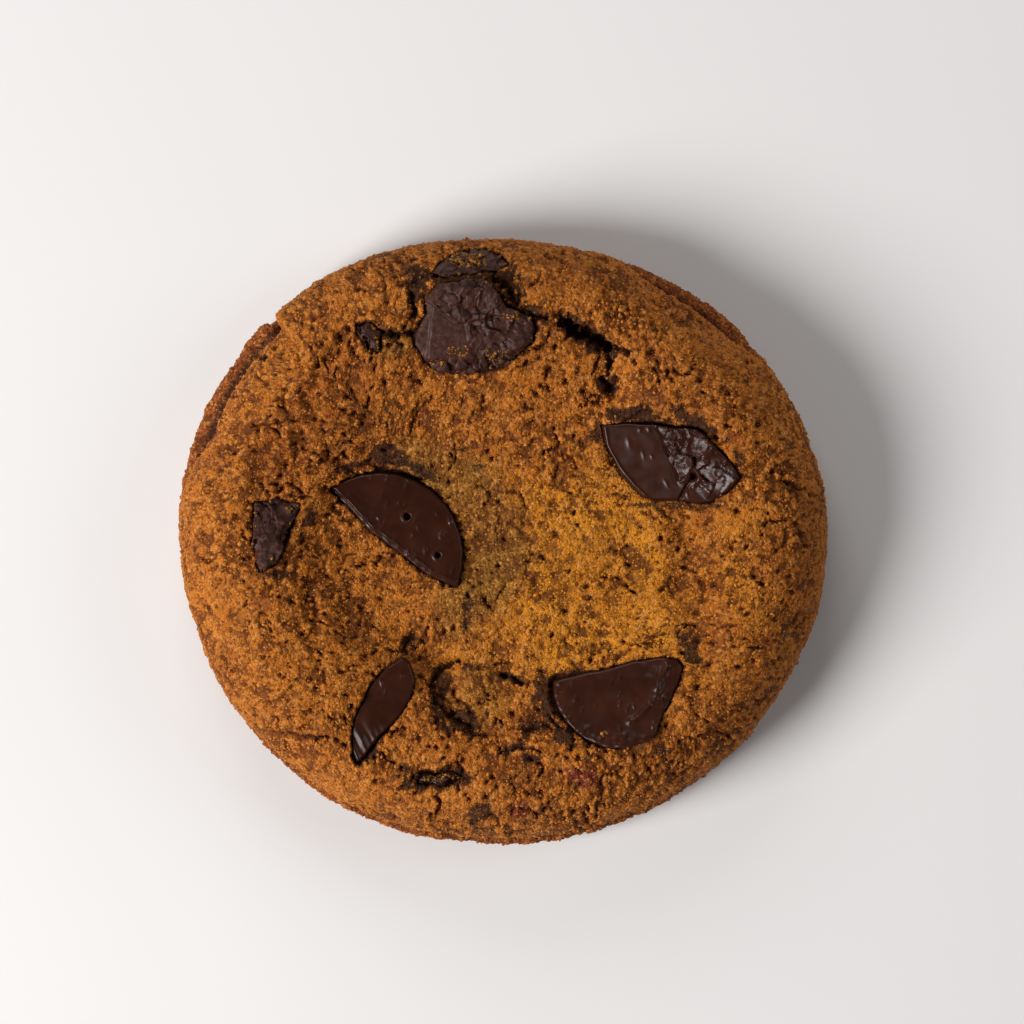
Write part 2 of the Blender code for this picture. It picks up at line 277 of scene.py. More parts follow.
def seat(points, proud, lean):
    """The plane that a chunk's top lies in, as in the CAD part."""
    xs, ys = np.array(points).T
    middle_x, middle_y = xs.mean(), ys.mean()
    east = surface_height(middle_x + SLOPE_REACH, middle_y)
    west = surface_height(middle_x - SLOPE_REACH, middle_y)
    north = surface_height(middle_x, middle_y + SLOPE_REACH)
    south = surface_height(middle_x, middle_y - SLOPE_REACH)
    slope_x = (east - west) / (2 * SLOPE_REACH)
    slope_y = (north - south) / (2 * SLOPE_REACH)
    level = surface_height(xs, ys).mean()

    def height(x, y):
        return level + proud + (slope_x + lean[0]) * (x - middle_x) + (slope_y + lean[1]) * (y - middle_y)

    return height


def signed_distance(x, y, points):
    """Distance in mm from an outline, negative inside it."""
    closed = list(points) + [points[0]]
    away = path_distance(x, y, closed)
    inside = np.zeros(x.shape, bool)
    for (x0, y0), (x1, y1) in zip(closed, closed[1:]):
        crosses = (y0 > y) != (y1 > y)
        with np.errstate(divide="ignore", invalid="ignore"):
            at = x0 + (y - y0) / (y1 - y0) * (x1 - x0)
        inside ^= crosses & (x < at)
    return np.where(inside, -away, away)


# ---------------------------------------------------------------- meshes

def make_object(name, points, faces, material, attributes=(), uv=None):
    """A mesh object from points in mm. attributes are (name, values); uv has a pair for each corner."""
    mesh = bpy.data.meshes.new(name)
    mesh.from_pydata((np.asarray(points) * MM).tolist(), [], faces)
    mesh.validate()
    mesh.shade_smooth()
    for label, values in attributes:
        layer = mesh.attributes.new(label, "FLOAT", "POINT")
        layer.data.foreach_set("value", np.asarray(values, np.float32))
    if uv is not None:
        layer = mesh.uv_layers.new(name="OFBake")
        layer.data.foreach_set("uv", np.asarray(uv, np.float32).ravel())
    mesh.materials.append(material)
    obj = bpy.data.objects.new(name, mesh)
    bpy.context.scene.collection.objects.link(obj)
    return obj


def normals_of(points, faces):
    """Normal at each point, for faces given as an array of quads."""
    a, b, c, d = (points[faces[:, i]] for i in range(4))
    across = np.cross(c - a, d - b)
    total = np.zeros_like(points)
    for i in range(4):
        np.add.at(total, faces[:, i], across)
    return total / np.maximum(np.linalg.norm(total, axis=1), 1e-9)[:, None]


def disc_grid(rings):
    """A square grid bent into a disc: ring and angle of each point, quads, and the outer ring in order."""
    span = np.arange(-rings, rings + 1)
    gx, gy = np.meshgrid(span, span, indexing="xy")
    gx, gy = gx.ravel().astype(float), gy.ravel().astype(float)
    ring = np.maximum(np.abs(gx), np.abs(gy))
    safe = np.maximum(ring, 1)
    on_x = np.abs(gx) >= np.abs(gy)
    angle = np.where(
        on_x,
        np.pi / 4 * gy / safe * np.sign(gx) + np.where(gx < 0, np.pi, 0),
        np.pi / 2 * np.sign(gy) - np.pi / 4 * gx / safe * np.sign(gy),
    )
    side = 2 * rings + 1
    index = np.arange(side * side).reshape(side, side)
    quads = np.stack([index[:-1, :-1], index[:-1, 1:], index[1:, 1:], index[1:, :-1]], axis=-1)
    quads = quads.reshape(-1, 4)
    outer = np.flatnonzero(ring == rings)
    outer = outer[np.argsort(angle[outer] % (2 * np.pi))]
    return ring, angle % (2 * np.pi), quads, outer


def turned_points(radius, angle, height):
    """Points at these distances from the Z axis, angles and heights."""
    return np.stack([radius * np.cos(angle), radius * np.sin(angle), height], axis=1)


def band_quads(first, second):
    """Quads between two rings of point numbers, the second one lower or further out."""
    return np.stack([first, second, np.roll(second, -1), np.roll(first, -1)], axis=-1)


def end_fans(total, count):
    """Triangles that close rings of this many points: point number total is above, and the next one below."""
    first, last = np.arange(count), total - count + np.arange(count)
    lid = np.stack([np.full(count, total), first, np.roll(first, -1)], axis=-1)
    base = np.stack([last, np.full(count, total + 1), np.roll(last, -1)], axis=-1)
    return lid.tolist() + base.tolist()


# ---------------------------------------------------------------- the dough

TOP_RINGS = 136
TOP_SHARE = 0.93
SIDE_RINGS = 18
SEAM_HEIGHT = 5.2
BREAK_COUNT = 900
CRACK_SHARE = 0.22
# Size of the disc that the crown fills in the UV square, from its middle, and of the side around it.
UV_CROWN = 0.40
UV_SIDE = 0.09


def crumbs(points, size, seed):
    """Clustered crumbs: low domes at heights of their own, with clefts between, from about -1 to 1."""
    moved = points / size + np.array([7.91, 13.37, 3.71]) * seed
    heights = []
    for place in moved.tolist():
        away, centres = noise.voronoi(place)
        own = noise.cell(centres[0] * 9.7)
        cleft = min(1.0, (away[1] - away[0]) / 0.28)
        heights.append(1.1 * (own - 0.5) - 0.9 * (1 - cleft) ** 2 + 0.5 * (0.5 - away[0]))
    return np.array(heights)


def baked_relief(points, calm):
    """Crags and crumbs of the baked surface, in mm along the normal, and the fine part of them alone."""
    crags = 0.45 * field(points, 8.0, 1) + 0.22 * field(points, 3.6, 2) + 0.14 * field(points, 1.8, 3)
    rough = 0.65 + 0.5 * smooth_step(-0.25, 0.35, field(points, 6.0, 8))
    fine = 0.15 * crumbs(points, 1.2, 4) + 0.09 * crumbs(points, 0.7, 5)
    fine *= rough
    return crags * calm + fine, fine


def scattered_breaks(rng):
    """Pits and short cracks over the crown, most of them in the ring between the middle and the rim."""
    breaks = []
    while len(breaks) < BREAK_COUNT:
        angle, share = rng.uniform(0, 2 * math.pi), math.sqrt(rng.random())
        radius = share * MEAN_RADIUS
        x, y = radius * math.cos(angle), radius * math.sin(angle)
        ring_share = 0.5 * math.exp(-(((share - 0.66) / 0.2) ** 2))
        groove = math.exp(-((math.hypot(x + 28, (y - 17) * 0.5) / 6) ** 2))
        if share > 0.98 or rng.random() > 0.25 + ring_share + 0.75 * groove:
            continue
        heading = rng.uniform(0, 2 * math.pi)
        path = [(x, y)]
        is_crack = rng.random() < CRACK_SHARE
        for _ in range(rng.randint(4, 9) if is_crack else rng.randint(1, 2)):
            heading += rng.uniform(-0.8, 0.8)
            stride = rng.uniform(0.35, 0.8) if is_crack else rng.uniform(0.1, 0.35)
            x += stride * math.cos(heading)
            y += stride * math.sin(heading)
            path.append((x, y))
        half_width = rng.uniform(0.14, 0.26) if is_crack else rng.uniform(0.2, 0.42)
        breaks.append((path, half_width, rng.uniform(0.35, 0.9)))
    return breaks


def carve(x, y, breaks, wobble):
    """How deep the breaks cut at each point, in mm."""
    depth = np.zeros_like(x)
    for path, half_width, cut in breaks:
        xs, ys = np.array(path).T
        near = (x > xs.min() - 2) & (x < xs.max() + 2) & (y > ys.min() - 2) & (y < ys.max() + 2)
        away = path_distance(x[near], y[near], path) + wobble[near] * (0.2 + 0.5 * half_width)
        depth[near] = np.maximum(depth[near], cut * smooth_step(half_width, 0.15 * half_width, away))
    return depth


def spots(points, places):
    """How strongly these ragged oval places cover each point, from 0 to 1."""
    x, y = points[:, 0], points[:, 1]
    ragged = 0.75 * field(points, 1.5, 21) + 0.8 * field(points, 0.6, 22)
    amount = np.zeros_like(x)
    for middle_x, middle_y, long_radius, short_radius, turn, strength in places:
        c, s = math.cos(math.radians(turn)), math.sin(math.radians(turn))
        along = ((x - middle_x) * c + (y - middle_y) * s) / long_radius
        across = (-(x - middle_x) * s + (y - middle_y) * c) / short_radius
        reach = np.sqrt(along**2 + across**2)
        amount = np.maximum(amount, strength * smooth_step(1.25, 0.75, reach + ragged))
    return np.clip(amount, 0, 1)


# Which way each chunk's wide gap lies, how wide it is in mm, and how far round it reaches, as cosines.
# The crumb along each gap is painted dark: shade in the crevice, partly chocolate stain.
GAP_SIDES = {
    "chunk_centre": (-0.15, 1.0, 0.9, 0.80, 0.95),
    "chunk_right": (0.1, 1.0, 0.7, 0.55, 0.85),
    "chunk_bottom": (-1.0, 0.25, 0.9, 0.80, 0.95),
    "chunk_sliver": (-0.1, -1.0, 0.5, 0.80, 0.95),
    "chunk_left": (1.0, -0.3, 0.7, 0.60, 0.90),
    "chunk_top": (0.9, 0.5, 0.5, 0.50, 0.90),
    "chunk_top_rear": (0.0, -1.0, 0.3, 0.50, 0.90),
    "chunk_top_left": (0.8, -0.6, 0.4, 0.50, 0.90),
    "chunk_buried": (0.0, 1.0, 0.4, 0.50, 0.90),
}


def make_crust(material, chunks):
    """The crust from the middle of the crown to the seam low on the side, closed underneath."""
    ring, angle, quads, outer = disc_grid(TOP_RINGS)
    share = TOP_SHARE * ring / TOP_RINGS
    radius = share * crust_radius(angle)
    x, y = radius * np.cos(angle), radius * np.sin(angle)
    z = crown_height(share) + relief(x, y) * smooth_step(1.0, 0.9, share)
    points = [np.stack([x, y, z], axis=1)]
    faces = [quads]
    start = len(x)
    rim_angle = angle[outer]
    last = outer
    seam = SEAM_HEIGHT + 0.5 * np.sin(5 * rim_angle + 1) + 0.3 * np.sin(13 * rim_angle)
    for step in range(1, SIDE_RINGS + 1):
        down = step / SIDE_RINGS
        share_here = TOP_SHARE + (1 - TOP_SHARE) * math.sin(math.radians(90 * down)) ** 0.8
        high = crown_height(np.full_like(rim_angle, min(share_here, 0.99999)))
        height = high + (seam - high) * smooth_step(0.7, 1.0, np.full_like(rim_angle, down))
        radius = share_here * crust_radius(rim_angle)
        points.append(turned_points(radius, rim_angle, height))
        here = start + np.arange(len(outer))
        faces.append(band_quads(last, here))
        last, start = here, start + len(outer)
    for inward, rise in ((0.4, -0.35), (1.2, -0.1), (2.4, 0.6)):
        radius = crust_radius(rim_angle) - inward
        points.append(turned_points(radius, rim_angle, seam + rise))
        here = start + np.arange(len(outer))
        faces.append(band_quads(last, here))
        last, start = here, start + len(outer)
    points = np.concatenate(points)
    faces = np.concatenate(faces)
    normals = normals_of(points, faces)

    x, y = points[:, 0].copy(), points[:, 1].copy()
    hidden = np.zeros(len(points))
    hidden[-3 * len(outer):] = 1
    calm = 0.45 + 0.55 * smooth_step(0.98, 0.8, np.hypot(x, y) / crust_radius(np.arctan2(y, x)))
    bumps, fine = baked_relief(points, calm)
    bumps *= 1 - hidden
    wobble = field(points, 0.8, 31)
    on_crown = smooth_step(WAIST_HEIGHT, WAIST_HEIGHT + 2, points[:, 2])
    cuts = carve(x, y, scattered_breaks(random.Random(7)), wobble) * on_crown
    sunk = carve(x, y, FURROWS, 2.2 * field(points, 1.8, 32) + wobble)
    gaps = carve(x, y, CRACKS, wobble) * on_crown
    shaped = points + normals * (bumps - sunk - np.maximum(cuts, gaps))[:, None]
    # The fine relief is lowered in cuts and furrows so that they are painted darker, as shade.
    fine = fine - 0.5 * np.minimum(cuts, 1) - 0.08 * sunk

    # Stains: the listed stains and hole, and the cracks, whose dark inside is painted shade, partly chocolate
    # stain.
    stain_and_shade = np.maximum(spots(points, STAINS_AND_HOLE_SHADE), smooth_step(0.4, 0.9, gaps))
    patchy = field(points, 1.4, 34)
    for name, (outline, _, proud, lean) in chunks.items():
        away = signed_distance(x, y, outline) + 0.25 * wobble
        toward_x, toward_y, widest, side_from, side_to = GAP_SIDES[name]
        middle_x, middle_y = np.mean(outline, axis=0)
        out_x, out_y = x - middle_x, y - middle_y
        long = np.hypot(out_x, out_y) * math.hypot(toward_x, toward_y)
        cosine = (out_x * toward_x + out_y * toward_y) / np.maximum(long, 0.1)
        facing = smooth_step(side_from, side_to, cosine)
        wide = widest * facing * (0.7 + 0.6 * patchy)
        near = smooth_step(wide + 0.22, wide - 0.15, away) * on_crown
        floor = seat(outline, proud, lean)(x, y) - 1.6 + 0.8 * smooth_step(0, 1.2, away)
        shaped[:, 2] += (np.minimum(floor, shaped[:, 2]) - shaped[:, 2]) * near
        # Painted shade along the gap round the chunk, partly chocolate stain, most on its wide side.
        edge = smooth_step(wide + 0.35, wide, away) * on_crown
        stain_and_shade = np.maximum(stain_and_shade, edge * smooth_step(-0.35, 0.15, patchy + 0.35 + 0.5 * facing))
    stain_and_shade = np.clip(stain_and_shade, 0, 1) * on_crown

    zones = crumb_zones(points, fine, stain_and_shade)
    zones.append(("bare", 1 - hidden))
    surface = (shaped.copy(), faces, zones)
    count = len(outer)
    centre = len(shaped)
    shaped = np.concatenate([shaped, [[0, 0, SEAM_HEIGHT + 1.2]]])
    fan = np.stack([last, np.full(count, centre), np.roll(last, -1)], axis=-1)
    all_faces = faces.tolist() + fan.tolist()
    attributes = [(label, np.append(values, 0)) for label, values in zones]

    reach = UV_CROWN * np.concatenate([ring / TOP_RINGS, np.full(len(shaped) - len(ring), 1.0)])
    around = np.concatenate([angle, np.tile(rim_angle, SIDE_RINGS + 3), [0]])
    for step in range(1, SIDE_RINGS + 4):
        at = len(ring) + (step - 1) * count
        reach[at:at + count] = UV_CROWN + UV_SIDE * step / SIDE_RINGS
    under = np.zeros(len(shaped))
    hidden_start = len(shaped) - 1 - 4 * count
    for step in range(4):
        under[hidden_start + step * count:hidden_start + (step + 1) * count] = 0.065 - 0.012 * step
    turned = np.stack([np.cos(around), np.sin(around)], axis=1)
    upper_uv = 0.5 + turned * reach[:, None]
    lower_uv = 0.93 + turned * under[:, None]
    uv = [
        (lower_uv if max(face) >= hidden_start + count else upper_uv)[corner]
        for face in all_faces
        for corner in face
    ]
    return make_object("dough_crust", shaped, all_faces, material, attributes, uv), surface


# Loose crumbs: (name, what they lie on, how many, usual radius in mm, share of each sunk in, seed).
GRAINS = (
    ("crumbs_fine", "crust", 9600, 0.15, 0.68, 1),
    ("crumbs_medium", "crust", 9600, 0.20, 0.76, 2),
    ("crumbs_coarse", "crust", 4200, 0.27, 0.84, 3),
    ("crumbs_foot", "foot", 2600, 0.20, 0.62, 4),
    ("crumbs_on_chocolate", "chunks", 420, 0.20, 0.72, 5),
)

# Where crumbs lie on the chocolate: (x, y, radius in x, radius in y, how many for their size).
CRUMBS_ON_CHOCOLATE = (
    (-6.2, 26.2, 1.6, 0.7, 1.0),
    (-4.8, 38.7, 2.4, 0.9, 1.0),
    (1.2, 30.6, 1.2, 1.2, 0.3),
    (-1.0, 25.6, 1.6, 0.8, 0.25),
    (-9.0, 24.6, 1.0, 0.5, 0.3),
    (13.8, -26.2, 0.4, 0.3, 0.5),
    (-31.0, -2.5, 0.8, 0.8, 0.15),
    (-29.0, 4.6, 0.8, 0.5, 0.25),
    (-9.4, -32.2, 2.2, 0.5, 0.5),
    (-17.6, 26.8, 0.8, 1.2, 0.4),
)


def make_grains(name, material, surface, count, radius, sunk, seed):
    """Loose crumbs stuck to the crust: small uneven lumps of about this radius in mm, as one mesh."""
    rng = np.random.default_rng(seed)
    points, faces, zones = surface
    values = dict(zones)
    corners = points[faces]
    middle = corners.mean(axis=1)
    across = np.cross(corners[:, 2] - corners[:, 0], corners[:, 3] - corners[:, 1])
    area = np.linalg.norm(across, axis=1)
    upward = across / np.maximum(area, 1e-9)[:, None]
    at = faces[:, 0]
    weight = area * values["bare"][at] * (1 - 0.45 * values["stain_and_shade"][at]) * (middle[:, 2] > 2)
    chosen = rng.choice(len(faces), count, p=weight / weight.sum())
    mix_a, mix_b = rng.random((2, count, 1))
    quad = corners[chosen]
    centre = (quad[:, 0] * (1 - mix_a) + quad[:, 1] * mix_a) * (1 - mix_b)
    centre += (quad[:, 3] * (1 - mix_a) + quad[:, 2] * mix_a) * mix_b
    ball = bmesh.new()
    bmesh.ops.create_icosphere(ball, subdivisions=1, radius=1)
    base = np.array([tuple(v.co) for v in ball.verts])
    base_faces = np.array([[v.index for v in f.verts] for f in ball.faces])
    ball.free()
    size = radius * np.exp(0.22 * rng.standard_normal((count, 1, 1)))
    stretch = rng.uniform(0.65, 1.35, (count, 1, 3))
    uneven = rng.uniform(0.75, 1.2, (count, len(base), 1))
    lumps = base[None] * uneven * stretch * size
    turn = np.linalg.qr(rng.standard_normal((count, 3, 3)))[0]
    turn[:, :, 0] *= np.sign(np.linalg.det(turn))[:, None]
    lumps = np.einsum("nij,nkj->nki", turn, lumps)
    lumps += (centre + upward[chosen] * size[:, 0] * (1 - 2 * sunk))[:, None]
    all_points = lumps.reshape(-1, 3)
    all_faces = (base_faces[None] + len(base) * np.arange(count)[:, None, None]).reshape(-1, 3)
    spread = len(base)
    attributes = [
        (label, np.repeat(held[at[chosen]], spread)) for label, held in zones if label != "bare"
    ]
    attributes.append(("tone", np.repeat(rng.random(count), spread)))
    uv = (0.5 + all_points[all_faces.ravel()][:, :2] / 96).astype(np.float32)
    return make_object(name, all_points, all_faces.tolist(), material, attributes, uv)


def crumb_zones(points, fine, stain_and_shade):
    """The values that colour the crumb: relief, whose low places are painted as shade, stains with painted
    shade in crevices, and how golden (partly painted light), olive, baked (with painted shade in the valleys)
    or reddish it is.
    """
    x, y, z = points.T
    wander = field(points, 6.0, 51) * 4
    # Yellower crumb right of the middle, brighter partly as painted light where that slope faces the lamp.
    golden = smooth_step(22, 6, np.hypot((x - 14) * 0.85, y + 5) + wander)
    golden = np.maximum(golden, 0.5 * smooth_step(10, 3, np.hypot(x + 2, y + 15) + wander))
    beside_wafer = np.abs(np.hypot(x + 17, y + 2) - 15.0) * 1.1 + np.maximum(np.abs(y - 1) - 9, 0)
    beside_wafer += 0.7 * wander
    olive = smooth_step(8, 2.5, beside_wafer) * smooth_step(-17, -13, x)
    olive = np.maximum(olive, 0.6 * smooth_step(7, 2, np.hypot(x + 4, (y + 20) * 0.8) + wander))
    olive = np.maximum(olive, 0.7 * smooth_step(3.5, 1.5, np.hypot(x + 15, y - 27) + 0.3 * wander))
    golden = golden * (1 - olive)
    baked = smooth_step(-0.1, 0.5, field(points, 9.0, 52)) * 0.4
    # Painted shade in the two valleys, over the random browning.
    left_valley = path_distance(x, y, ((-22, 21), (-31, 13)))
    baked = np.maximum(baked, smooth_step(8, 3, left_valley) * 0.8)
    right_valley = path_distance(x, y, ((25, 3), (26, -5), (28, -13)))
    baked = np.maximum(baked, smooth_step(6, 2, right_valley) * 0.8)
    return [
        ("fine", fine),
        ("stain_and_shade", stain_and_shade),
        ("golden", golden),
        ("olive", olive),
        ("baked", baked),
        ("blush", spots(points, BLUSHES) * (z > WAIST_HEIGHT)),
    ]


FOOT_SECTION = (
    # (radius inside the outline, height), from the hidden top down round the side to the base
    (9.0, 7.4), (3.4, 7.0), (1.8, 6.2), (1.1, 5.8), (0.6, 5.3), (0.2, 4.7), (0.0, 4.0), (0.05, 3.4),
    (0.15, 2.8), (0.3, 2.2), (0.55, 1.6), (0.9, 1.05), (1.35, 0.6), (1.9, 0.25), (2.5, 0.05), (3.2, 0.0),
    (4.2, 0.0), (6.0, 0.0), (9.0, 0.0), (14.0, 0.0), (22.0, 0.0), (32.0, 0.0),
)
FOOT_STEPS = 900


def make_foot(material):
    """The lower layer that shows under the crust, down to the flat base."""
    angle = np.linspace(0, 2 * np.pi, FOOT_STEPS, endpoint=False)
    turn = np.degrees(angle)
    notch = 1.5 * smooth_step(134.2, 134.9, turn) * smooth_step(137.4, 136.6, turn)
    points, faces = [], []
    for row, (inside, height) in enumerate(FOOT_SECTION):
        cut = notch * smooth_step(1.5, 3.5, np.full_like(angle, height))
        radius = outline_radius(angle) - inside - cut
        points.append(turned_points(radius, angle, np.full_like(angle, height)))
        if row:
            here = row * FOOT_STEPS + np.arange(FOOT_STEPS)
            faces.append(band_quads(here - FOOT_STEPS, here))
    points = np.concatenate(points)
    faces = np.concatenate(faces)
    normals = normals_of(points, faces)
    bumps, fine = baked_relief(points, 0.6)
    keep = smooth_step(0.0, 2.5, points[:, 2])
    shaped = points + normals * (bumps * (0.15 + 0.85 * keep) * (points[:, 2] > 0.01))[:, None]
    shaped[:, 2] = np.maximum(shaped[:, 2], 0)
    shaped = np.concatenate([shaped, [[0, 0, FOOT_SECTION[0][1]], [0, 0, 0]]])
    x, y, z = points.T
    inside = outline_radius(np.arctan2(y, x)) - np.hypot(x, y)
    # Painted shade on the top of the foot where the crust overhangs it.
    stain_and_shade = 0.8 * smooth_step(0.9, 2.0, inside) * (z > 4)
    zones = dict(crumb_zones(points, fine, stain_and_shade))
    zones["baked"] = np.maximum(0.5, 0.9 * smooth_step(1.5, 0.2, z))
    zones["blush"] = 0.5 * smooth_step(3.5, 5.0, z)
    zones["golden"] = np.zeros(len(points))
    zones["olive"] = np.zeros(len(points))
    attributes = [(label, np.append(values, [0, 0])) for label, values in zones.items()]
    bare = (points[:, 2] > 2).astype(float) * smooth_step(3.5, 2.5, inside)
    surface = (shaped[:-2].copy(), faces, list(zones.items()) + [("bare", bare)])
    all_faces = faces.tolist() + end_fans(len(points), FOOT_STEPS)
    return make_object("dough_foot", shaped, all_faces, material, attributes), surface


# ---------------------------------------------------------------- chocolate

def dense_outline(points, spacing, ragged, seed):
    """The outline with points this far apart, its corners rounded a little and its edge a little ragged."""
    corners = np.array(points + [points[0]], float)
    lengths = np.hypot(*np.diff(corners, axis=0).T)
    along = np.concatenate([[0], np.cumsum(lengths)])
    count = int(along[-1] / spacing)
    at = np.linspace(0, along[-1], count, endpoint=False)
    dense = np.stack([np.interp(at, along, corners[:, i]) for i in range(2)], axis=1)
    for _ in range(3):
        dense = 0.5 * dense + 0.25 * (np.roll(dense, 1, axis=0) + np.roll(dense, -1, axis=0))
    outward = dense - dense.mean(axis=0)
    outward /= np.hypot(*outward.T)[:, None]
    flat = np.column_stack([dense, np.full(count, 3.3 * seed)])
    shift = ragged * (field(flat, 2.2, 61) + 0.6 * field(flat, 0.9, 62))
    return dense + outward * shift[:, None]


def facets(points, size, seed, steepness):
    """Flat broken faces of this size in mm, each with a tilt and a height of its own, in mm."""
    bend = np.stack([field(points, 0.7 * size, seed + i) for i in range(3)], axis=1)
    bent = points + 0.22 * size * bend
    moved = bent / size + np.array([3.17, 8.93, 5.39]) * seed
    heights = []
    for place in moved.tolist():
        _, centres = noise.voronoi(place)
        own = noise.cell_vector(centres[0] * 9.7)
        off_x, off_y = place[0] - centres[0].x, place[1] - centres[0].y
        heights.append((own.x - 0.5) * off_x + (own.y - 0.5) * off_y + 0.35 * (own.z - 0.5))
    return np.array(heights) * size * steepness


def pimples(x, y, outline, rng, count, height):
    """Small drops and strokes left on chocolate that melted, most of them standing upright in Y."""
    rise = np.zeros_like(x)
    xs, ys = np.array(outline).T
    while count:
        at_x, at_y = rng.uniform(xs.min(), xs.max()), rng.uniform(ys.min(), ys.max())
        if signed_distance(np.array([at_x]), np.array([at_y]), outline)[0] > -0.5:
            continue
        count -= 1
        wide, long, lean = rng.uniform(0.16, 0.3), rng.uniform(0.25, 0.7), rng.uniform(-0.5, 0.5)
        across = (x - at_x - lean * (y - at_y)) / wide
        rise += height * rng.uniform(0.5, 1.0) * np.exp(-(across**2) - ((y - at_y) / long) ** 2)
    return rise


def centre_relief(body, x, y, inside):
    """Nearly flat, with two pin holes and a melted lip along the broken edge."""
    broken = ((-24, 7.2), (-21.2, 4.7), (-18.2, 1.4), (-14.7, -1.2), (-10.3, -4.6), (-6.9, -6.2))
    edge = path_distance(x, y, broken) + 0.25 * field(body, 1.3, 70)
    rise = 0.16 * np.exp(-(((edge - 0.75) / 0.25) ** 2)) - 0.45 * smooth_step(0.62, 0.42, edge)
    rise += 0.10 * smooth_step(2.8, 0.8, edge) * field(body, 0.9, 71)
    for at_x, at_y, radius in ((-13.2, 3.45, 0.55), (-9.0, -1.85, 0.48)):
        away = np.hypot(x - at_x, y - at_y)
        rise += 0.10 * np.exp(-((away - radius - 0.15) / 0.18) ** 2)
        rise -= 1.3 * smooth_step(radius, radius - 0.3, away)
    return rise + 0.05 * field(body, 3.0, 72)


def right_relief(body, x, y, inside):
    """A flat left half, then a low ridge, a groove and a raised wavy right end with a pit and a crack."""
    across = x + 0.45 * (y - 11) + 0.5 * field(body, 2.0, 72)
    raised = smooth_step(22.6, 23.4, across) * smooth_step(6.6, 8.4, y + 0.8 * np.maximum(x - 26.5, 0))
    waves = facets(body, 2.4, 73, 0.55) + facets(body, 1.1, 74, 0.35) + 0.08 * field(body, 0.8, 75)
    rise = raised * (0.13 * (across - 23.0) + waves) + 0.05 * field(body, 2.0, 76)
    pit = np.hypot(x - 26.1, y - 9.0)
    crack = path_distance(x, y, ((26.0, 8.8), (25.0, 7.4), (24.0, 5.5)))
    rise -= 0.9 * smooth_step(0.6, 0.2, pit) + 0.45 * smooth_step(0.28, 0.05, crack)
    left_rim = path_distance(x, y, ((13.5, 16.0), (14.0, 12.8), (15.5, 10.2), (17.6, 7.6), (19.3, 5.9)))
    return rise + 0.14 * np.exp(-(((left_rim - 0.45) / 0.2) ** 2))


def bottom_relief(body, x, y, inside):
    """Flat on the left, with a curved ridge on the right and a melted lower rim."""
    ridge_line = ((22.4, -17.0), (21.3, -19.2), (20.6, -21.4), (18.6, -23.9), (17.2, -24.6))
    ridge = path_distance(x, y, ridge_line)
    wrinkles = 0.75 + 0.7 * field(body, 0.9, 76)
    rise = 0.42 * np.exp(-((ridge / 0.42) ** 2)) * wrinkles
    rise += 0.16 * smooth_step(19.5, 21.5, x + 0.4 * (y + 21)) * field(body, 1.1, 75)
    low = smooth_step(-24.5, -26.8, y + 0.15 * (x - 14))
    rise += low * (0.22 * field(body, 1.0, 77) + 0.1)
    left_rim = path_distance(x, y, ((6.8, -19.1), (7.5, -23.0), (8.9, -25.2), (11.5, -27.0)))
    rise += smooth_step(2.0, 0.3, left_rim) * 0.14 * field(body, 0.7, 78)
    return rise - 0.5 * smooth_step(20.5, 24.0, x) + 0.05 * field(body, 3.0, 79)


def sliver_relief(body, x, y, inside):
    """Smooth and domed, with a rim on its left edge and ridges at its lower end."""
    low = smooth_step(-23.5, -27.5, y)
    ridges = 0.16 * np.sin(3.2 * (x + 0.5 * y)) * low
    return 0.12 * smooth_step(0, 2.0, inside) + ridges + 0.05 * field(body, 2.0, 80)


def top_relief(body, x, y, inside):
    """A broken face in two levels: a rough upper slab, a smooth left facet and a crumbling lower rim."""
    step_x = (-12, -10.7, -8.4, -6.4, -3, -1, 2, 5)
    step_y = (33.8, 32.9, 31.2, 30.0, 30.4, 30.9, 30.2, 29.0)
    step_line = np.interp(x, step_x, step_y)
    wander = 0.35 * field(body, 1.2, 80)
    slab = smooth_step(-0.1, 0.25, y - step_line + wander)
    facet = smooth_step(0.4, -0.2, x + 4.6 + 0.15 * (y - 27) + wander) * (1 - slab)
    chips = facets(body, 3.2, 81, 0.7) + facets(body, 1.3, 79, 0.6) + 0.08 * field(body, 0.7, 82)
    rise = 0.6 * slab + (1 - facet) * chips + 0.05 * field(body, 2.5, 84)
    left_strip = smooth_step(0.1, -0.2, x + 10.2 - 0.1 * (y - 27) + 0.5 * wander) * (1 - slab)
    rise -= 0.45 * left_strip
    low_edge = smooth_step(25.2, 24.2, y - 0.35 * np.maximum(x + 2, 0) + wander)
    return rise + low_edge * (0.35 * crumbs(body, 1.1, 83) - 0.35) - 0.25 * smooth_step(0.8, 0.2, inside)


def rough_relief(body, x, y, inside):
    rise = facets(body, 3.0, 85, 0.8) + facets(body, 1.3, 86, 0.6) + 0.10 * field(body, 0.7, 87)
    return rise - 0.3 * smooth_step(0.9, 0.2, inside)


# Each chunk's relief, how ragged its edge is in mm, and how many drops and strokes lie on it.
RELIEFS = {
    "chunk_centre": (centre_relief, 0.06, 26),
    "chunk_right": (right_relief, 0.08, 12),
    "chunk_bottom": (bottom_relief, 0.10, 24),
    "chunk_sliver": (sliver_relief, 0.08, 3),
    "chunk_buried": (rough_relief, 0.40, 0),
    "chunk_left": (rough_relief, 0.30, 0),
    "chunk_top": (top_relief, 0.34, 0),
    "chunk_top_rear": (rough_relief, 0.36, 0),
    "chunk_top_left": (rough_relief, 0.34, 0),
}

GLOSSY = ("chunk_centre", "chunk_right", "chunk_bottom", "chunk_sliver", "chunk_buried")


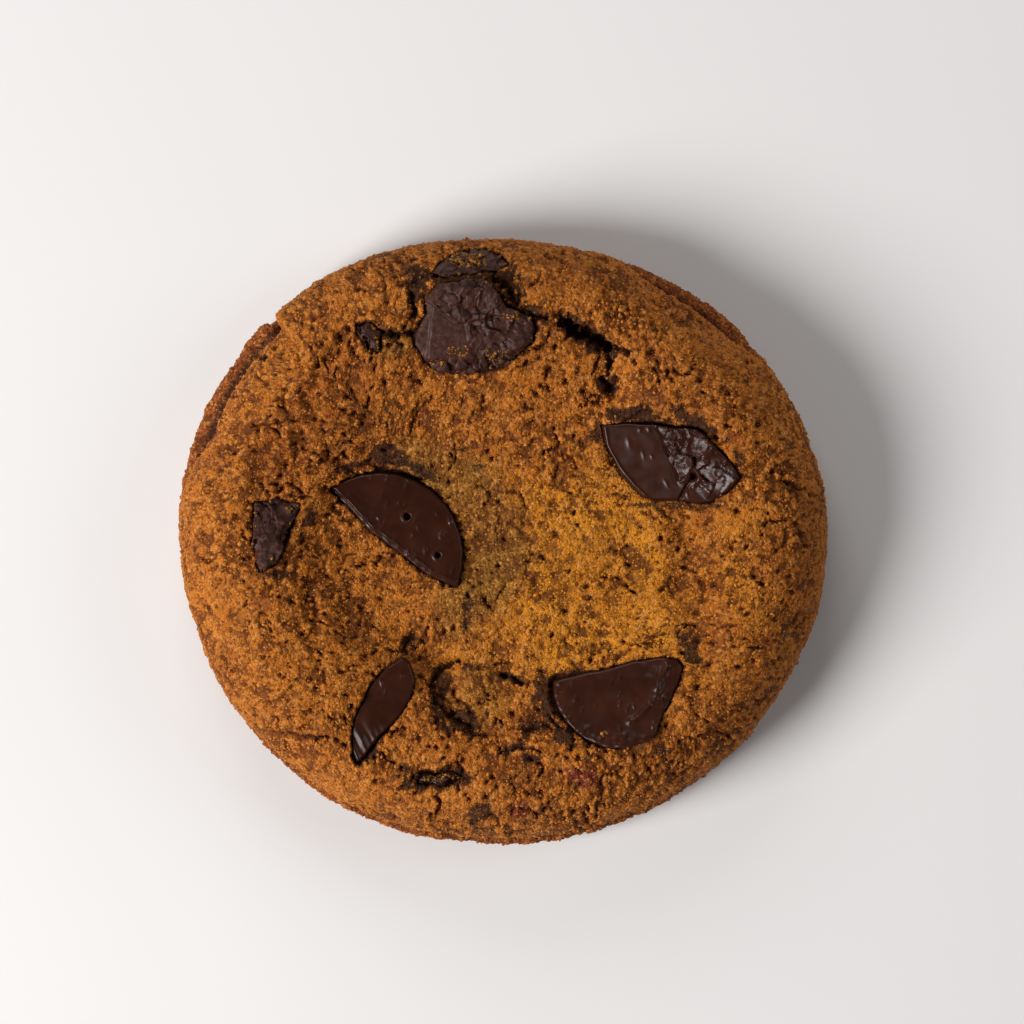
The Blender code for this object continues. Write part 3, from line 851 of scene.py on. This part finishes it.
def joined(surfaces):
    """Several surfaces as one, each a (points, faces, values at the points) of its own."""
    starts = np.cumsum([0] + [len(points) for points, _, _ in surfaces])
    points = np.concatenate([points for points, _, _ in surfaces])
    faces = np.concatenate([faces + start for (_, faces, _), start in zip(surfaces, starts)])
    labels = [label for label, _ in surfaces[0][2]]
    values = [(label, np.concatenate([dict(held)[label] for _, _, held in surfaces])) for label in labels]
    return points, faces, values


def make_chunk(name, points, thickness, proud, lean, material):
    """A piece of chocolate: rings from its middle to the edge, then down its side to a flat bottom."""
    shape, ragged, drops = RELIEFS[name]
    seed = sorted(RELIEFS).index(name) + 1
    outline = dense_outline(points, 0.16, ragged, seed)
    middle = outline.mean(axis=0)
    count = len(outline)
    rings = int(np.hypot(*(outline - middle).T).max() / 0.19)
    place = seat(points, proud, lean)
    edge_round = 0.4
    rows = [(ring / rings, 0.0, 0.0) for ring in range(1, rings + 1)]
    side = ((0.25, 0.0), (0.55, 0.04), (0.9, 0.05), (1.5, 0.0))
    for down, out in side + ((thickness - 0.3, -0.1), (thickness, -0.6)):
        rows.append((1.0, down, out))
    outward = outline - middle
    outward /= np.hypot(*outward.T)[:, None]
    made, faces, insides = [], [], []
    edge = outline.tolist()
    for row, (share, down, out) in enumerate(rows):
        x, y = (middle + (outline - middle) * share + outward * out).T
        inside = np.maximum(-signed_distance(x, y, edge), 0) if share < 1 else np.zeros_like(x)
        drop = np.clip(1 - inside / edge_round, 0, 1)
        height = place(x, y) - down - edge_round * (1 - np.sqrt(np.maximum(0, 1 - drop**2)))
        made.append(np.stack([x, y, height], axis=1))
        insides.append(inside)
        if row:
            here = row * count + np.arange(count)
            faces.append(band_quads(here - count, here))
    body = np.concatenate(made)
    faces = np.concatenate(faces)
    insides = np.concatenate(insides)
    keep = np.repeat([1 - 0.8 * min(1, down) for _, down, _ in rows], count)
    x, y = body[:, 0].copy(), body[:, 1].copy()
    rise = shape(body, x, y, insides) + pimples(x, y, points, random.Random(seed), drops, 0.17)
    body[:, 2] += rise * keep
    bare = np.zeros(len(body))
    for at_x, at_y, reach_x, reach_y, crowd in CRUMBS_ON_CHOCOLATE:
        apart = ((x - at_x) / reach_x) ** 2 + ((y - at_y) / reach_y) ** 2
        bare = np.maximum(bare, crowd * smooth_step(1.6, 0.5, apart + 0.5 * field(body, 0.7, 91)))
    if not drops:
        patchy = smooth_step(0.0, 0.35, field(body, 1.6, 92))
        bare = np.maximum(bare, 0.2 * smooth_step(0.7, 0.2, insides) * patchy)
    bare[rings * count:] = 0
    plain = np.zeros(len(body))
    values = [(label, plain) for label in ("fine", "golden", "blush", "baked")]
    values += [("olive", plain + 1), ("stain_and_shade", plain + 0.25), ("bare", bare)]
    surface = (body.copy(), faces, values)
    middle_height = body[:count, 2].mean()
    bottom_height = body[-count:, 2].mean()
    body = np.concatenate([body, [[*middle, middle_height], [*middle, bottom_height]]])
    all_faces = faces.tolist() + end_fans(len(rows) * count, count)
    return make_object(name + "_piece", body, all_faces, material), surface


# ---------------------------------------------------------------- materials

def linear(red, green, blue):
    """A colour given as 0-255 screen values, as the linear values that shaders take."""
    def one(value):
        value /= 255
        return value / 12.92 if value <= 0.04045 else ((value + 0.055) / 1.055) ** 2.4
    return (one(red), one(green), one(blue), 1.0)


CRUST_ORANGE = linear(178, 102, 28)
# Golden crumb colour, its brightness partly painted light.
CRUST_GOLD = linear(204, 128, 24)
CRUST_OLIVE = linear(124, 90, 28)
# Browned crust colour, also used for painted shade in the valleys.
CRUST_BAKED = linear(142, 72, 16)
CRUST_RED = linear(112, 38, 28)
# Dark crumb colour: dark grains at random, and painted shade in pits and low places.
CRUST_DARK_AND_PIT_SHADE = linear(80, 36, 6)
# Pale crumb colour: paler grains, partly a painted glint on them.
CRUST_PALE_AND_GLINT = linear(200, 134, 64)
# Stain colours: chocolate stains, and painted shade in cracks, holes, the gaps round the chunks and under the
# crust's overhang.
STAIN_AND_SHADE_DARK = linear(26, 10, 5)
STAIN_AND_SHADE_BROWN = linear(52, 24, 10)
CHOCOLATE_DARK = linear(44, 18, 8)
CHOCOLATE_MILKY = linear(54, 24, 13)
CHOCOLATE_DUSTY = linear(74, 44, 36)


class Nodes:
    """Short calls for the nodes that the materials share."""

    def __init__(self, name):
        self.material = bpy.data.materials.new(name)
        self.material.use_nodes = True
        self.tree = self.material.node_tree
        self.shader = self.tree.nodes["Principled BSDF"]
        self.place = self.add("ShaderNodeTexCoord").outputs["Object"]

    def add(self, kind, **settings):
        node = self.tree.nodes.new(kind)
        for key, value in settings.items():
            setattr(node, key, value)
        return node

    def link(self, source, target):
        self.tree.links.new(source, target)

    def noise(self, size_mm, detail=2.0, distortion=0.0):
        node = self.add("ShaderNodeTexNoise")
        node.inputs["Scale"].default_value = 1 / (size_mm * MM)
        node.inputs["Detail"].default_value = detail
        node.inputs["Distortion"].default_value = distortion
        self.link(self.place, node.inputs["Vector"])
        return node.outputs["Fac"]

    def grains(self, size_mm):
        node = self.add("ShaderNodeTexVoronoi")
        node.inputs["Scale"].default_value = 1 / (size_mm * MM)
        self.link(self.place, node.inputs["Vector"])
        return node

    def ramp(self, source, low, high, to_low=0.0, to_high=1.0):
        node = self.add("ShaderNodeMapRange", interpolation_type="SMOOTHSTEP")
        node.inputs["From Min"].default_value = low
        node.inputs["From Max"].default_value = high
        node.inputs["To Min"].default_value = to_low
        node.inputs["To Max"].default_value = to_high
        self.link(source, node.inputs["Value"])
        return node.outputs["Result"]

    def attribute(self, name):
        return self.add("ShaderNodeAttribute", attribute_name=name).outputs["Fac"]

    def math(self, operation, first, second):
        node = self.add("ShaderNodeMath", operation=operation, use_clamp=True)
        for socket, value in zip(node.inputs, (first, second)):
            if isinstance(value, (int, float)):
                socket.default_value = value
            else:
                self.link(value, socket)
        return node.outputs["Value"]

    def mix(self, factor, first, second):
        node = self.add("ShaderNodeMix", data_type="RGBA")
        for name, value in (("Factor_Float", factor), ("A_Color", first), ("B_Color", second)):
            socket = next(s for s in node.inputs if s.identifier == name)
            if isinstance(value, (int, float, tuple)):
                socket.default_value = value
            else:
                self.link(value, socket)
        return next(s for s in node.outputs if s.identifier == "Result_Color")

    def finish(self, color, roughness, specular, normal):
        """Sets the shader and gives the material. roughness is (noise size in mm, detail, least, most)."""
        size_mm, detail, least, most = roughness
        self.link(color, self.shader.inputs["Base Color"])
        rough = self.ramp(self.noise(size_mm, detail), 0.3, 0.7, least, most)
        self.link(rough, self.shader.inputs["Roughness"])
        self.shader.inputs["Specular IOR Level"].default_value = specular
        self.link(normal, self.shader.inputs["Normal"])
        return self.material

    def bump(self, height, strength, distance_mm, normal=None):
        node = self.add("ShaderNodeBump")
        node.inputs["Strength"].default_value = strength
        node.inputs["Distance"].default_value = distance_mm * MM
        self.link(height, node.inputs["Height"])
        if normal is not None:
            self.link(normal, node.inputs["Normal"])
        return node.outputs["Normal"]


def zone_color(nodes):
    """The colour of the crumb before its grain: golden (partly painted light), olive, well baked (with
    painted shade in the valleys) or reddish.
    """
    color = nodes.mix(nodes.attribute("golden"), CRUST_ORANGE, CRUST_GOLD)
    color = nodes.mix(nodes.math("MULTIPLY", nodes.attribute("olive"), 0.8), color, CRUST_OLIVE)
    color = nodes.mix(nodes.math("MULTIPLY", nodes.attribute("baked"), 0.75), color, CRUST_BAKED)
    return nodes.mix(nodes.attribute("blush"), color, CRUST_RED)


def crumb_material():
    nodes = Nodes("baked_crumb")
    color = zone_color(nodes)
    fine = nodes.attribute("fine")
    cell = nodes.grains(0.42)
    tone = nodes.add("ShaderNodeSeparateColor")
    nodes.link(cell.outputs["Color"], tone.inputs["Color"])
    # Pale cells: paler grains at random, partly a painted glint on them.
    pale_and_glint = nodes.ramp(tone.outputs["Red"], 0.62, 0.95, 0, 0.75)
    color = nodes.mix(pale_and_glint, color, CRUST_PALE_AND_GLINT)
    dark = nodes.ramp(tone.outputs["Green"], 0.72, 0.98, 0, 0.8)
    color = nodes.mix(dark, color, CRUST_DARK_AND_PIT_SHADE)
    speck = nodes.ramp(nodes.noise(0.16, 3.0), 0.50, 0.36, 0, 0.6)
    color = nodes.mix(speck, color, CRUST_DARK_AND_PIT_SHADE)
    # Painted shade in the low places of the relief: clefts between crumbs, pits, cracks and furrows.
    deep = nodes.ramp(fine, -0.05, -0.35, 0, 0.85)
    color = nodes.mix(deep, color, CRUST_DARK_AND_PIT_SHADE)
    # Chocolate stains, and painted shade in cracks, holes, chunk gaps and under the crust's overhang.
    stain_and_shade_color = nodes.mix(nodes.ramp(nodes.noise(0.5, 3.0), 0.45, 0.6), STAIN_AND_SHADE_DARK, STAIN_AND_SHADE_BROWN)
    ragged = nodes.ramp(nodes.noise(0.22, 2.0), 0.35, 0.65, 0.0, 0.55)
    speckled = nodes.math("ADD", nodes.attribute("stain_and_shade"), ragged)
    color = nodes.mix(nodes.ramp(speckled, 0.40, 1.15), color, stain_and_shade_color)
    lumps = nodes.bump(cell.outputs["Distance"], 1.0, -0.16)
    normal = nodes.bump(nodes.noise(0.16, 3.0), 1.0, 0.10, lumps)
    return nodes.finish(color, (0.3, 2.0, 0.6, 0.9), 0.15, normal)


def grain_material():
    nodes = Nodes("loose_crumb")
    tone = nodes.attribute("tone")
    # Loose crumbs of high tone are paler, partly a painted glint on them.
    color = nodes.mix(nodes.ramp(tone, 0.50, 1.0, 0, 0.65), zone_color(nodes), CRUST_PALE_AND_GLINT)
    color = nodes.mix(nodes.ramp(tone, 0.30, 0.0, 0, 0.8), color, CRUST_DARK_AND_PIT_SHADE)
    color = nodes.mix(nodes.ramp(nodes.noise(0.2, 2.0), 0.5, 0.7, 0, 0.35), color, CRUST_BAKED)
    # Loose crumbs take the stains and the painted shade of the place they lie on.
    stained_and_shaded = nodes.math("MULTIPLY", nodes.attribute("stain_and_shade"), nodes.ramp(tone, 0.98, 0.6, 0.35, 1.0))
    color = nodes.mix(stained_and_shaded, color, STAIN_AND_SHADE_BROWN)
    normal = nodes.bump(nodes.noise(0.15, 2.0), 0.6, 0.05)
    return nodes.finish(color, (0.3, 2.0, 0.5, 0.8), 0.1, normal)


def glossy_chocolate():
    nodes = Nodes("glossy_chocolate")
    color = nodes.mix(nodes.ramp(nodes.noise(3.0, 2.0), 0.35, 0.7), CHOCOLATE_DARK, CHOCOLATE_MILKY)
    normal = nodes.bump(nodes.noise(0.9, 2.0), 0.15, 0.05)
    return nodes.finish(color, (1.8, 3.0, 0.26, 0.38), 0.2, normal)


def matte_chocolate():
    nodes = Nodes("matte_chocolate")
    dust = nodes.ramp(nodes.noise(0.6, 4.0), 0.4, 0.7)
    color = nodes.mix(dust, CHOCOLATE_MILKY, CHOCOLATE_DUSTY)
    normal = nodes.bump(nodes.noise(0.4, 3.0), 0.6, 0.10)
    return nodes.finish(color, (1.0, 3.0, 0.45, 0.65), 0.25, normal)


# ---------------------------------------------------------------- stage

# The floor is this far from its middle to each side, in metres, and fades out between these two distances.
FLOOR_REACH = 1.0
FLOOR_CLEAR = 0.22
FLOOR_END = 0.60
FLOOR_COLOR = (0.74, 0.72, 0.71, 1)
BACKGROUND_COLOR = (0.78, 0.76, 0.75, 1)


def make_floor():
    mesh = bpy.data.meshes.new("floor")
    corners = [(x * FLOOR_REACH, y * FLOOR_REACH, 0) for x, y in ((-1, -1), (1, -1), (1, 1), (-1, 1))]
    mesh.from_pydata(corners, [], [(0, 1, 2, 3)])
    floor = bpy.data.objects.new("floor", mesh)
    bpy.context.scene.collection.objects.link(floor)
    nodes = Nodes("pale_floor")
    nodes.shader.inputs["Base Color"].default_value = FLOOR_COLOR
    nodes.shader.inputs["Roughness"].default_value = 0.9
    away = nodes.add("ShaderNodeVectorMath", operation="LENGTH")
    nodes.link(nodes.place, away.inputs[0])
    fade = nodes.add("ShaderNodeMixShader")
    nodes.link(nodes.ramp(away.outputs["Value"], FLOOR_CLEAR, FLOOR_END), fade.inputs["Fac"])
    nodes.link(nodes.shader.outputs["BSDF"], fade.inputs[1])
    nodes.link(nodes.add("ShaderNodeBsdfTransparent").outputs["BSDF"], fade.inputs[2])
    nodes.link(fade.outputs["Shader"], nodes.tree.nodes["Material Output"].inputs["Surface"])
    mesh.materials.append(nodes.material)


def area_light(name, location, size, power):
    data = bpy.data.lights.new(name, "AREA")
    data.shape = "DISK"
    data.size = size
    data.energy = power
    light = bpy.data.objects.new(name, data)
    light.location = location
    light.rotation_euler = (-Vector(location)).to_track_quat("-Z", "Y").to_euler()
    bpy.context.scene.collection.objects.link(light)


def make_light():
    world = bpy.data.worlds.new("studio")
    bpy.context.scene.world = world
    world.use_nodes = True
    background = world.node_tree.nodes["Background"]
    background.inputs["Color"].default_value = (1, 1, 1, 1)
    background.inputs["Strength"].default_value = 0.08
    tree = world.node_tree
    seen = tree.nodes.new("ShaderNodeBackground")
    seen.inputs["Color"].default_value = BACKGROUND_COLOR
    path = tree.nodes.new("ShaderNodeLightPath")
    choose = tree.nodes.new("ShaderNodeMixShader")
    tree.links.new(path.outputs["Is Camera Ray"], choose.inputs["Fac"])
    tree.links.new(background.outputs["Background"], choose.inputs[1])
    tree.links.new(seen.outputs["Background"], choose.inputs[2])
    tree.links.new(choose.outputs["Shader"], tree.nodes["World Output"].inputs["Surface"])
    area_light("key", (-0.64, -0.27, 0.50), 0.46, 10.5)
    area_light("fill", (0.80, 0.20, 0.50), 0.6, 2.0)
    area_light("back", (-0.20, 0.85, 0.50), 0.6, 3.2)


CAMERA_HEIGHT = 1.1
FOCUS_HEIGHT = 0.008
SEEN_WIDTH = 0.1413
SENSOR_WIDTH = 36


def make_camera():
    """Straight above, with the middle of the picture a little up and right of the cookie's middle."""
    data = bpy.data.cameras.new("camera")
    data.sensor_width = SENSOR_WIDTH
    data.lens = SENSOR_WIDTH * (CAMERA_HEIGHT - FOCUS_HEIGHT) / SEEN_WIDTH
    camera = bpy.data.objects.new("camera", data)
    camera.location = (1.2 * MM, 4.1 * MM, CAMERA_HEIGHT)
    bpy.context.scene.collection.objects.link(camera)
    bpy.context.scene.camera = camera


def main():
    bpy.context.scene.view_settings.view_transform = "Standard"
    chunks = chunk_shapes()
    crumb = crumb_material()
    crust, on_crust = make_crust(crumb, chunks)
    foot, on_foot = make_foot(crumb)
    on_chunks = []
    glossy, matte = glossy_chocolate(), matte_chocolate()
    for name, (points, thickness, proud, lean) in chunks.items():
        is_glossy = name in GLOSSY
        piece, surface = make_chunk(name, points, thickness, proud, lean, glossy if is_glossy else matte)
        on_chunks.append(surface)
        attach(piece, "root")
        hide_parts(name)
    surfaces = {"crust": on_crust, "foot": on_foot, "chunks": joined(on_chunks)}
    loose = grain_material()
    pieces = [crust, foot]
    for name, lies_on, count, radius, sunk, seed in GRAINS:
        pieces.append(make_grains(name, loose, surfaces[lies_on], count, radius, sunk, seed))
    for piece in pieces:
        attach(piece, "root")
        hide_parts("dough")
    make_floor()
    make_light()
    make_camera()


main()

bpy.context.view_layer.update()
